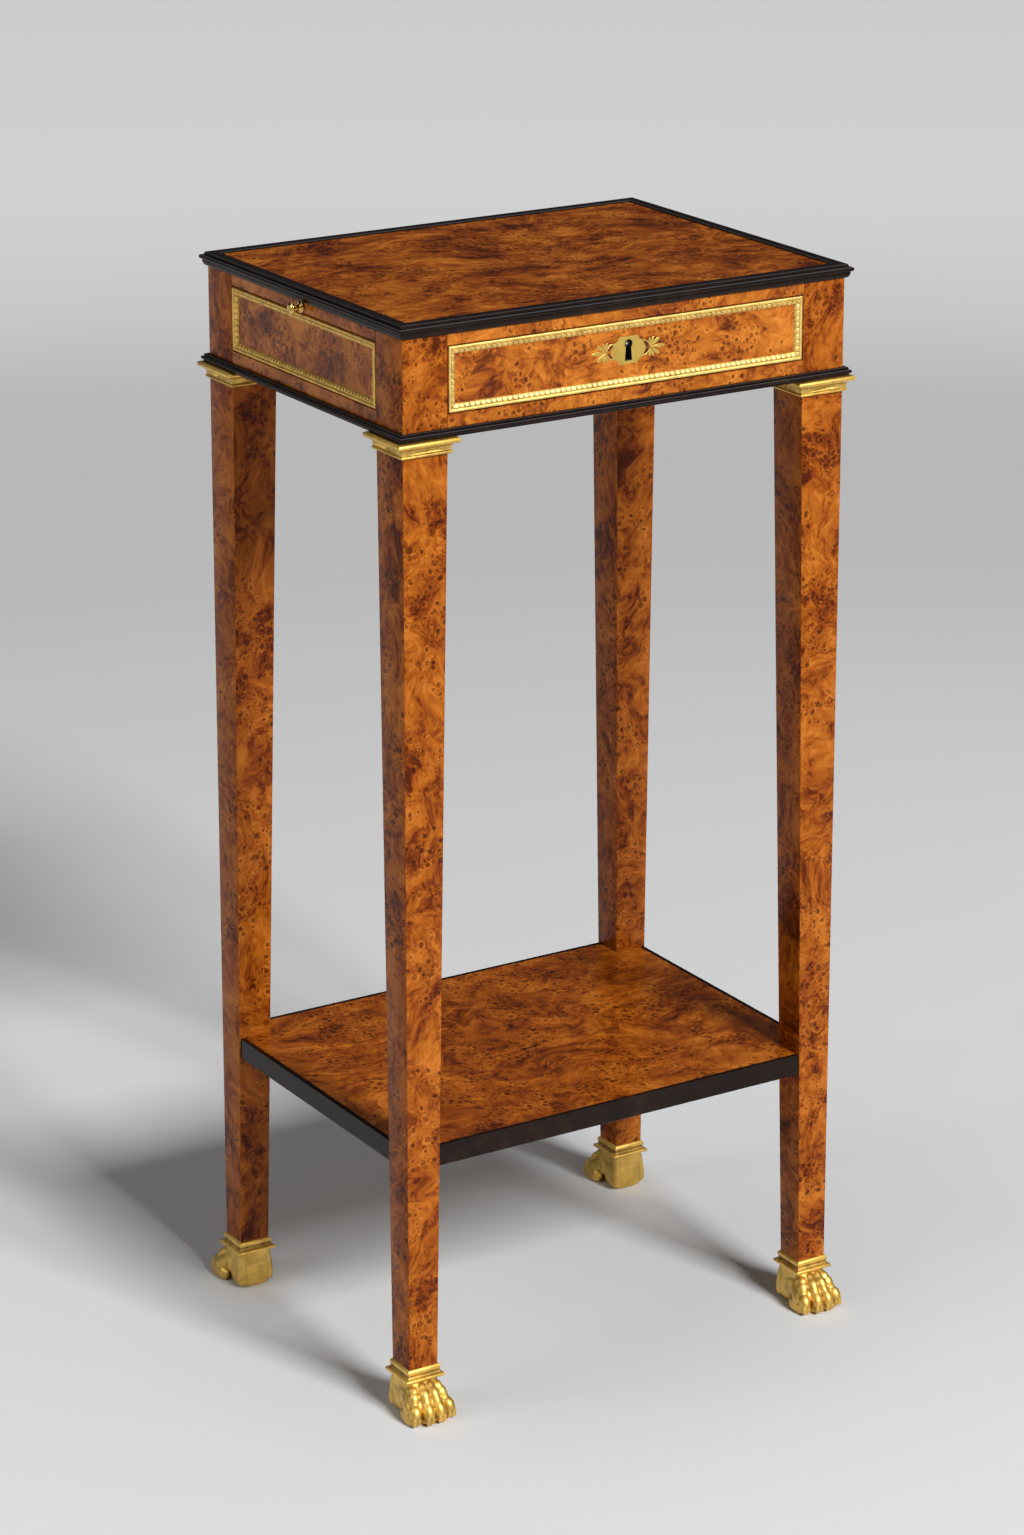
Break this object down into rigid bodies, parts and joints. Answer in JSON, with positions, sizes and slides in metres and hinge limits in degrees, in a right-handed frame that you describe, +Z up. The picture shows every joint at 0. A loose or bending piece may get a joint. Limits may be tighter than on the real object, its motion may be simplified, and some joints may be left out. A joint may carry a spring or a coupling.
{
  "type": "occasional table",
  "caption": "Tall slim side table with a frieze drawer, a pull-out side slide, tapered square legs, a low shelf and paw feet.",
  "frame": {"origin": "on the floor under the middle of the top", "axes": "+X to the right along the drawer front, +Y to the back, +Z up"},
  "size_m": [0.3561, 0.2938, 0.75],
  "materials": {
    "burr_veneer": "orange-brown burr veneer under a clear polish",
    "ebonised_wood": "black stained wood, polished",
    "gilt_bronze": "mercury-gilt bronze, matt ground with burnished high points",
    "brass": "brushed brass, a little dulled",
    "secondary_wood": "planed oak, waxed",
    "steel": "filed steel"
  },
  "bodies": {
    "table": {"leg_front_left": "burr_veneer", "leg_front_right": "burr_veneer", "leg_back_left": "burr_veneer", "leg_back_right": "burr_veneer", "capital_front_left": "gilt_bronze", "capital_front_right": "gilt_bronze", "capital_back_left": "gilt_bronze", "capital_back_right": "gilt_bronze", "capital_pins": "brass", "paw_front_left": "gilt_bronze", "paw_front_right": "gilt_bronze", "paw_back_left": "gilt_bronze", "paw_back_right": "gilt_bronze", "top_core": "secondary_wood", "top_veneer": "burr_veneer", "top_moulding_front": "ebonised_wood", "top_moulding_back": "ebonised_wood", "top_moulding_left": "ebonised_wood", "top_moulding_right": "ebonised_wood", "base_moulding_front": "ebonised_wood", "base_moulding_back": "ebonised_wood", "base_moulding_left": "ebonised_wood", "base_moulding_right": "ebonised_wood", "front_top_rail": "burr_veneer", "front_bottom_rail": "burr_veneer", "left_rail": "burr_veneer", "right_rail": "burr_veneer", "back_rail": "burr_veneer", "left_panel": "burr_veneer", "right_panel": "burr_veneer", "back_panel": "burr_veneer", "left_frame": "gilt_bronze", "right_frame": "gilt_bronze", "back_frame": "gilt_bronze", "shelf_board": "secondary_wood", "shelf_veneer": "burr_veneer", "shelf_edging_front": "ebonised_wood", "shelf_edging_back": "ebonised_wood", "shelf_edging_left": "ebonised_wood", "shelf_edging_right": "ebonised_wood", "shelf_dowels": "secondary_wood", "drawer_runners": "secondary_wood", "drawer_guides": "secondary_wood", "slide_bearers": "secondary_wood", "slide_guide": "secondary_wood", "top_screws": "steel"},
    "drawer": {"drawer_front": "burr_veneer", "drawer_panel": "burr_veneer", "drawer_frame": "gilt_bronze", "drawer_side_left": "secondary_wood", "drawer_side_right": "secondary_wood", "drawer_back": "secondary_wood", "drawer_bottom": "secondary_wood", "escutcheon": "brass", "lock_case": "brass"},
    "lock_bolt": {"lock_bolt": "steel"},
    "slide": {"slide_board": "secondary_wood", "slide_lipping": "burr_veneer", "slide_knob": "brass", "slide_stop": "secondary_wood"}
  },
  "joints": [
    {"name": "drawer_pull", "type": "slide", "parent": "table", "child": "drawer", "axis": [0, -1, 0], "range_m": [0, 0.185]},
    {"name": "slide_pull", "type": "slide", "parent": "table", "child": "slide", "axis": [-1, 0, 0], "range_m": [0, 0.2]},
    {"name": "bolt_throw", "type": "slide", "parent": "drawer", "child": "lock_bolt", "axis": [0, 0, 1], "range_m": [0, 0.0045]}
  ]
}
